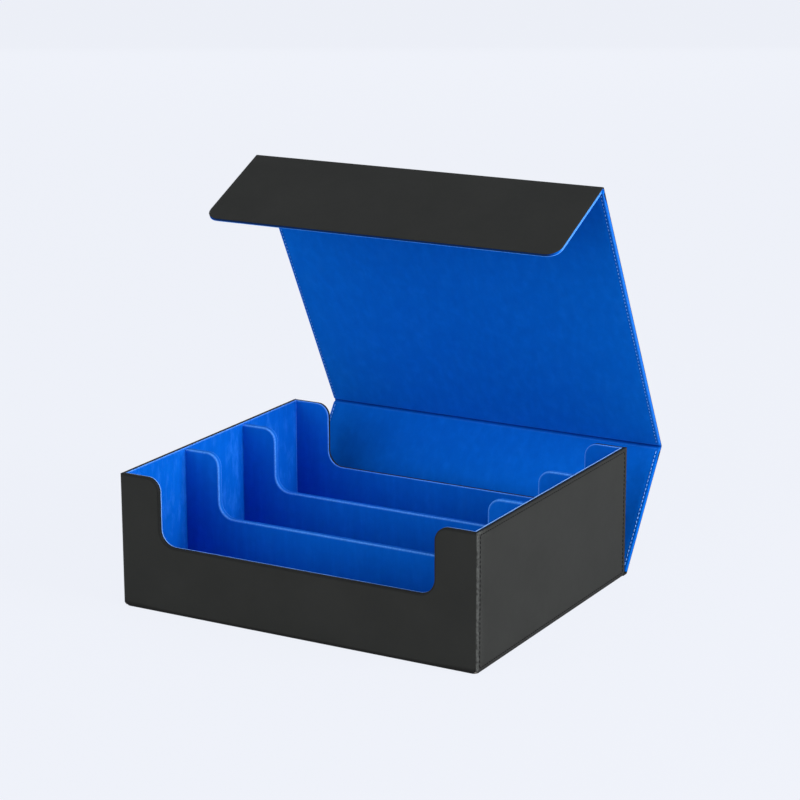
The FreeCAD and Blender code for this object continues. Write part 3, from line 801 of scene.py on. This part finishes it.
def makePanel(name, panel):
    # the outer leather of a cover panel, and its lining, which is open where it runs on
    # into a fold; only the rear cover's ends free, at the tray
    isFlap = name == "flap"
    radius, farRole, farTone = (cover["flapRadius"], "free", 1.0) if isFlap else (0, "fold", 0.0)
    for kind, start, profile, material in (
            ("leather", cover["leatherStart"], sheetRows(), leather),
            ("suede", cover["boardStart"], coverProfile(hem["rimFrayAndHighlight"][name]), suede)):
        far = panel["length"] - (0 if isFlap else start)
        nearRole, nearRadius = "fold", 0
        if kind == "suede" and name == "rear_cover":
            start, nearRole, nearRadius = cover["liningStart"], "free", hem["cornerRadius"]
        edges = [("z", start, nearRadius, nearRole), ("x", halfWidth, radius, "free"),
                 # on the flap, the far edge's rim and side darkened with a deep painted shade
                 ("z", far, radius, farRole, farTone, hem["flapRimShade"]),
                 ("x", -halfWidth, nearRadius, "free")]
        if kind == "leather":
            piece = plate(f"leather_{name}", panel["frame"], edges, profile, material)
            finishPiece(piece, name, "black_leather", f"{name}_skin")
        else:
            piece = plate(f"suede_{name}", panel["frame"], edges, profile, material,
                          panel["frame"]["axes"][1])
            thicken(piece, tray["lining"])
            finishPiece(piece, name, "blue_suede", f"{name}_lining")


for name, panel in panels.items():
    panel["frame"] = panelFrame(hingeAt[panel["hinge"]], angleOf[name])
    makePanel(name, panel)
print("cover panels made")


fold = {
    "bend": 1.3, "reach": cover["leatherStart"], "bendPoints": 13, "runPoints": 3,
    "arris": 1.0, "arrisAt": 3.7, "arrisPoints": 5, "slopeEnd": (1.75, 2.05),
    # the fold's arris a touch lighter; its slope and crease darkened with painted shade
    "crease": ((1.2, 1.82), (0.5, 1.74)), "arrisWearAndShading": 0.1, "slopeShade": -0.4,
    "creaseShade": -0.8, "glueFoot": 1.4, "fillFrom": 5.5, "fillRun": 4.0,
}


def directions(angle):
    # (y, z) along the panel and out of it
    turn = math.radians(angle)
    return (np.array([-math.sin(turn), math.cos(turn)]),
            np.array([math.cos(turn), math.sin(turn)]))


def leatherFold(name, hinge, angles):
    # mid line: straight to the tangent point, an arc of the bend radius, straight on
    (alongA, outA), (alongB, outB) = directions(angles[0]), directions(angles[1])
    tangent = fold["bend"] * math.tan(math.radians(angles[1] - angles[0]) / 2)
    centre = hinge - alongA * tangent - outA * fold["bend"]
    turn = np.radians(np.linspace(*angles, fold["bendPoints"]))
    out = np.stack([np.cos(turn), np.sin(turn)], axis=-1)
    straight = fold["runPoints"]
    runs = np.linspace(-fold["reach"], -tangent, straight + 1)[:-1, None]
    mid = np.concatenate([hinge + alongA * runs, centre + fold["bend"] * out,
                          hinge - alongB * runs[::-1]])
    out = np.concatenate([np.tile(outA, (straight, 1)), out, np.tile(outB, (straight, 1))])
    right = np.array(sheetRows()) * (-1, 1, 1) + (halfWidth, 0, 0)
    section = np.concatenate([right, right[::-1] * (-1, 1, 1)])
    depth = tray["leather"] / 2 - section[:, 1]
    place = mid[:, None] + out[:, None] * depth[None, :, None]
    across = np.broadcast_to(section[:, 0], place.shape[:2])
    points = np.concatenate([across[..., None], place], axis=-1).reshape(-1, 3)
    wearAndShading = np.tile(section[:, 2], len(place))
    return makePiece(name, points, tubeFaces(*place.shape[:2]), wearAndShading, leather)


def suedeFold(name, hinge, angles):
    # The lining from one panel down a 45 degree slope into the crease and up the next one;
    # the slopes lie on each other when the fold is closed. Its two ends are filled level.
    start, arris, foot = cover["boardStart"], fold["arris"], fold["slopeEnd"]
    tangent = arris * math.tan(math.pi / 8)
    line = [(-start, wallThickness, 0.0)]
    # a touch lighter over the arris; painted shade down the slope and in the crease
    line += [(-fold["arrisAt"] - tangent + arris * math.sin(t),
              wallThickness - arris + arris * math.cos(t), fold["arrisWearAndShading"])
             for t in np.linspace(0, math.pi / 4, fold["arrisPoints"]).tolist()]
    inner = len(line)  # the foot of the slope
    line += [(-foot[0], foot[1], fold["slopeShade"])]
    line += [(-s, d, fold["creaseShade"]) for s, d in fold["crease"]]
    top = np.array(line)

    def both(rows):
        # the half on the first panel, then its mirror image on the next one
        halves = []
        for angle, side in zip(angles, (1, -1)):
            along, out = directions(angle)
            half = hinge + along * (side * rows[:, :1]) \
                + out * (tray["leather"] / 2 - rows[:, 1:2])
            halves.append(half[::side])
        return np.concatenate(halves)

    path = both(top)
    wearAndShading = np.concatenate([top[:, 2], top[::-1, 2]])
    glueAndDeepShade = both(np.array([(-start, glueDepth), (-fold["glueFoot"], glueDepth)]))
    slope = np.gradient(path, axis=0)
    slope /= np.linalg.norm(slope, axis=1)[:, None]
    inward = np.stack([-slope[:, 1], slope[:, 0]], axis=-1)
    if np.dot(inward[0], directions(angles[0])[1]) > 0:
        inward = -inward
    inward[0] = -directions(angles[0])[1]
    inward[-1] = -directions(angles[1])[1]
    ends = np.array([row[:2] for row in hemRows] + rimRows)[::-1]
    columns = np.concatenate([-halfWidth + ends[:, 0], halfWidth - ends[::-1, 0]])
    dips = np.concatenate([ends[:, 1], ends[::-1, 1]])
    fade = np.clip((top[:, 1] - foot[1]) / (wallThickness - foot[1]), 0, 1)
    fade = np.concatenate([fade, fade[::-1]])
    onRim = np.abs(columns) > halfWidth - hem["arris"] - 0.01
    edgeOnly = np.maximum(dips - hem["dip"], 0) * onRim
    dips = edgeOnly[:, None] + (dips - edgeOnly)[:, None] * fade
    outer = len(path) - 1 - inner  # the other foot: at the ends a straight line joins them
    share = np.clip((np.arange(len(path)) - inner) / (outer - inner), 0, 1)[:, None]
    level = np.where((share > 0) & (share < 1),
                     path[inner] + (path[outer] - path[inner]) * share, path)
    fill = np.clip((np.abs(columns) - halfWidth + fold["fillFrom"]) / fold["fillRun"], 0, 1)
    fill = (fill * fill * (3 - 2 * fill))[:, None, None]  # an even blend, 3f^2 - 2f^3
    loops = path + (level - path) * fill - inward * dips[..., None]
    back = np.broadcast_to(glueAndDeepShade[::-1], (len(columns), *glueAndDeepShade.shape))
    loops = np.concatenate([loops, back], axis=1)
    wearAndShadingRows = np.broadcast_to(np.r_[wearAndShading, np.zeros(len(glueAndDeepShade))], loops.shape[:2])
    across = np.broadcast_to(columns[:, None], loops.shape[:2])
    points = np.concatenate([across[..., None], loops], axis=-1).reshape(-1, 3)
    return makePiece(name, points, tubeFaces(*loops.shape[:2]), wearAndShadingRows.reshape(-1), suede)


def bendEnds(hinge, angles, reach, height):
    # the two points between which the bending happens, on the chord across the fold
    (alongA, outA), (alongB, _) = directions(angles[0]), directions(angles[1])
    chord = alongA + alongB
    chord /= np.linalg.norm(chord)
    half = reach * np.dot(alongA, chord) - height * abs(np.dot(outA, chord))
    return [(0, *((hinge + chord * side * half) * mm)) for side in (-1, 1)]


def makeFold(name, hingeName, *bodies):
    # the leather over a hinge and, above the base, the lining in it
    hinge = hingeAt[hingeName]
    angles = [angleOf[body] for body in bodies]
    pieces = {"black_leather": leatherFold(f"leather_fold_{name}", hinge, angles)}
    start, end = bendEnds(hinge, angles, fold["reach"], tray["leather"])
    if name != "base":
        pieces["blue_suede"] = suedeFold(f"suede_fold_{name}", hinge, angles)
        start, end = bendEnds(hinge, angles, cover["boardStart"],
                              wallThickness - tray["leather"] / 2)
    for slotName, piece in pieces.items():
        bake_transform(piece)


makeFold("base", "rear_hinge", "tray", "rear_cover")
makeFold("rear_to_top", "top_hinge", "rear_cover", "top_cover")
makeFold("top_to_flap", "flap_hinge", "top_cover", "flap")
print("folds made")


stitch = {
    "pitch": 3.6, "fill": 0.78, "width": 0.8, "narrowing": 0.55, "dip": 0.3,
    "sides": 6, "rings": 5, "proud": 0.1,
    "coverDepth": {"rear_cover": 0.4, "top_cover": 0.65, "flap": 0.4},
    "foldGap": 0.3, "cornerSpacing": 4.0,
}


def stitchShape():
    # One stitch: a thin rod that bows up in the middle and narrows at both holes, its
    # radius r * (1 - narrowing * |t|^3) and its middle line at -dip * t^4, t from -1 to 1.
    t = np.linspace(-1, 1, stitch["rings"])
    around = np.arange(stitch["sides"]) / stitch["sides"] * 2 * math.pi
    radius = stitch["width"] / 2 * (1 - stitch["narrowing"] * np.abs(t) ** 3)
    rise = -stitch["dip"] * t ** 4
    along = np.broadcast_to(t[:, None] / 2, (len(t), len(around)))
    across = radius[:, None] * np.cos(around)
    up = radius[:, None] * np.sin(around) + rise[:, None]
    return (np.stack([along, across, up], axis=-1).reshape(-1, 3),
            tubeFaces(len(t), len(around)))


def sew(name, frameOf, lift, runs, depth, material):
    # stitches between evenly spaced holes along each run of (across, along) points;
    # lift is 1 where they rise against the frame's depth, -1 where they rise with it
    shape, shapeFaces = stitchShape()
    starts, ends = [], []
    for run in runs:
        run = np.asarray(run, float)
        length = runLengths(run)
        count = max(1, round(length[-1] / stitch["pitch"]))
        holes = np.linspace(0, length[-1], count + 1)
        at = np.stack([np.interp(holes, length, run[:, 0]), np.interp(holes, length, run[:, 1])],
                      axis=-1)
        starts.append(at[:-1])
        ends.append(at[1:])
    starts, ends = np.concatenate(starts), np.concatenate(ends)
    middle, step = (starts + ends) / 2, (ends - starts) * stitch["fill"]
    size = np.linalg.norm(step, axis=1)[:, None]
    along, aside = step / size, np.stack([-step[:, 1], step[:, 0]], axis=-1) / size
    flat = (middle[:, None] + along[:, None] * (shape[:, 0] * size)[..., None]
            + aside[:, None] * shape[None, :, 1, None])
    deep = np.broadcast_to(depth - lift * shape[:, 2], flat.shape[:2])
    local = np.stack([flat[..., 0], deep, flat[..., 1]], axis=-1).reshape(-1, 3)
    offsets = np.arange(len(middle))[:, None, None] * len(shape)
    faces = []
    for block in shapeFaces:
        rows = np.atleast_2d(block)
        faces.append((offsets + rows).reshape(-1, rows.shape[1]))
    return makePiece(name, toWorld(frameOf, local), faces, np.zeros(len(local)), material)


def sewSide(side):
    # one round of stitches near the four edges of a side
    reach = tray["halfDepth"] - skin["seamInset"]
    low = tray["leather"] + skin["seamHeight"]
    high = tray["height"] - skin["seamHeight"]
    corners = [(-reach, low), (reach, low), (reach, high), (-reach, high), (-reach, low)]
    piece = sew(f"stitches_{side}_wall", wallFrames[side], 1,
                list(zip(corners[:-1], corners[1:])),
                skin["seamDepth"] - stitch["proud"], blackThread)
    finishPiece(piece, "tray", "black_thread", f"{side}_side_thread")


def sewPanel(name, panel):
    # a row along each side of a panel, one round three edges of the flap
    start = cover["boardStart"] + stitch["foldGap"]
    depth = wallThickness - stitch["coverDepth"][name]
    if name == "flap":
        radius = cover["flapRadius"]
        edges = [("z", start, 0, "fold"), ("x", halfWidth, radius, "free"),
                 ("z", panel["length"], radius, "free"), ("x", -halfWidth, 0, "free")]
        ring, starts, *_ = outline(edges, [hem["seamInset"]], stitch["cornerSpacing"])
        run = np.concatenate([ring[0, starts[1]:], ring[0, :1]])
        piece = sew("stitches_flap", panel["frame"], -1, [run], depth, blueThread)
        finishPiece(piece, name, "blue_thread", "flap_thread")
        return
    for side, sign in (("left", -1), ("right", 1)):
        x = sign * (halfWidth - hem["seamInset"])
        piece = sew(f"stitches_{name}_{side}", panel["frame"], -1,
                    [[(x, start), (x, panel["length"] - start)]], depth, blueThread)
        finishPiece(piece, name, "blue_thread", f"{name}_{side}_thread")


sewSide("left")
sewSide("right")
for name, panel in panels.items():
    sewPanel(name, panel)
print("sewing made")


for name, node in frame["nodes"].items():
    # the parts that stay as they are: boards and magnets, inside the skins
    if name.endswith(("_board", "_magnet")):
        node.data.materials.clear()
        node.data.materials.append(platedMagnet if name.endswith("magnet") else greyBoard)
print("boards and magnets finished")


stage = {
    "backdrop": colour(238, 241, 249), "floorSize": 40.0, "floorShade": 0.04,
    "floorBounce": 0.8, "floorDrop": 0.0002, "glow": 0.975, "worldLight": 0.12,
}


def seenRays(tree):
    # 1 for what the camera sees, straight or through a mirror or glass
    path = addNode(tree, "ShaderNodeLightPath")
    seen = path.outputs["Is Camera Ray"]
    for kind in ("Is Glossy Ray", "Is Transmission Ray"):
        seen = combine(tree, "MAXIMUM", seen, path.outputs[kind])
    return seen


def showInstead(tree, light, seen):
    # the light of one shader, and the look of another
    mix = addNode(tree, "ShaderNodeMixShader")
    tree.links.new(seenRays(tree), mix.inputs[0])
    tree.links.new(light.outputs[0], mix.inputs[1])
    tree.links.new(seen.outputs[0], mix.inputs[2])
    output = next(node for node in tree.nodes if node.type.startswith("OUTPUT"))
    tree.links.new(mix.outputs[0], output.inputs["Surface"])


def makeFloor():
    # a matte floor, seen as the plain backdrop and a little darker in a shadow
    material, tree, shader = shaderTree("paleFloor")
    tree.nodes.remove(shader)
    matte, shade = [addNode(tree, "ShaderNodeBsdfDiffuse", Color=(stage[key],) * 3 + (1.0,))
                    for key in ("floorBounce", "floorShade")]
    glow = addNode(tree, "ShaderNodeEmission", Color=stage["backdrop"], Strength=stage["glow"])
    seen = addNode(tree, "ShaderNodeAddShader")
    tree.links.new(shade.outputs[0], seen.inputs[0])
    tree.links.new(glow.outputs[0], seen.inputs[1])
    showInstead(tree, matte, seen)
    half = stage["floorSize"] / 2
    mesh = bpy.data.meshes.new("floor")
    mesh.from_pydata([(-half, -half, 0), (half, -half, 0), (half, half, 0), (-half, half, 0)],
                     [], [(0, 1, 2, 3)])
    mesh.materials.append(material)
    floor = bpy.data.objects.new("floor", mesh)
    bpy.context.scene.collection.objects.link(floor)
    floor.location.z = -stage["floorDrop"]


def makeWorld():
    # dim white light from all round, seen as the plain backdrop
    world = bpy.data.worlds.new("studio")
    bpy.context.scene.world = world
    world.use_nodes = True
    tree = world.node_tree
    light = next(node for node in tree.nodes if node.type == "BACKGROUND")
    light.inputs["Color"].default_value = (1, 1, 1, 1)
    light.inputs["Strength"].default_value = stage["worldLight"]
    seen = addNode(tree, "ShaderNodeBackground", Color=stage["backdrop"])
    showInstead(tree, light, seen)


lamps = {  # place and target in metres, size in metres, watts
    "keyLamp": ((2.3, 0.1, 0.9), (0.0, 0.0, 0.15), 1.4, 69.0),
    "frontLamp": ((-0.9, -2.65, 0.65), (0.0, 0.0, 0.2), 3.4, 84.0),
    "backLamp": ((-1.5, 2.7, 1.2), (0.0, 0.0, 0.15), 2.4, 18.0),
}


def makeLamps():
    # soft square lamps, each turned to its target
    for name, (place, target, size, watts) in lamps.items():
        lamp = bpy.data.lights.new(name, "AREA")
        lamp.shape = "SQUARE"
        lamp.size = size
        lamp.energy = watts
        holder = bpy.data.objects.new(name, lamp)
        bpy.context.scene.collection.objects.link(holder)
        holder.location = place
        aim = Vector(target) - Vector(place)
        holder.rotation_euler = aim.to_track_quat("-Z", "Y").to_euler()


shot = {
    "place": (0.9655, -1.6691, 0.6701), "forward": (-0.47625, 0.84082, -0.25732),
    "right": (0.87043, 0.49228, -0.00246), "focal": 2556.0, "frame": 800.0, "sensor": 36.0,
    "clipStart": 0.05,
}


def makeCamera():
    # focal length and frame are in the same unit, so lens / sensor = focal / frame
    data = bpy.data.cameras.new("camera")
    data.sensor_width = shot["sensor"]
    data.lens = shot["focal"] / shot["frame"] * shot["sensor"]
    data.clip_start = shot["clipStart"]
    camera = bpy.data.objects.new("camera", data)
    bpy.context.scene.collection.objects.link(camera)
    forward = Vector(shot["forward"]).normalized()
    right = Vector(shot["right"]).normalized()
    up = right.cross(forward)
    turn = Matrix((right, up, -forward)).transposed()
    camera.matrix_world = Matrix.Translation(shot["place"]) @ turn.to_4x4()
    bpy.context.scene.camera = camera


makeFloor()
makeWorld()
makeLamps()
makeCamera()
bpy.context.scene.view_settings.view_transform = "Standard"
print("stage, lamps and camera made")
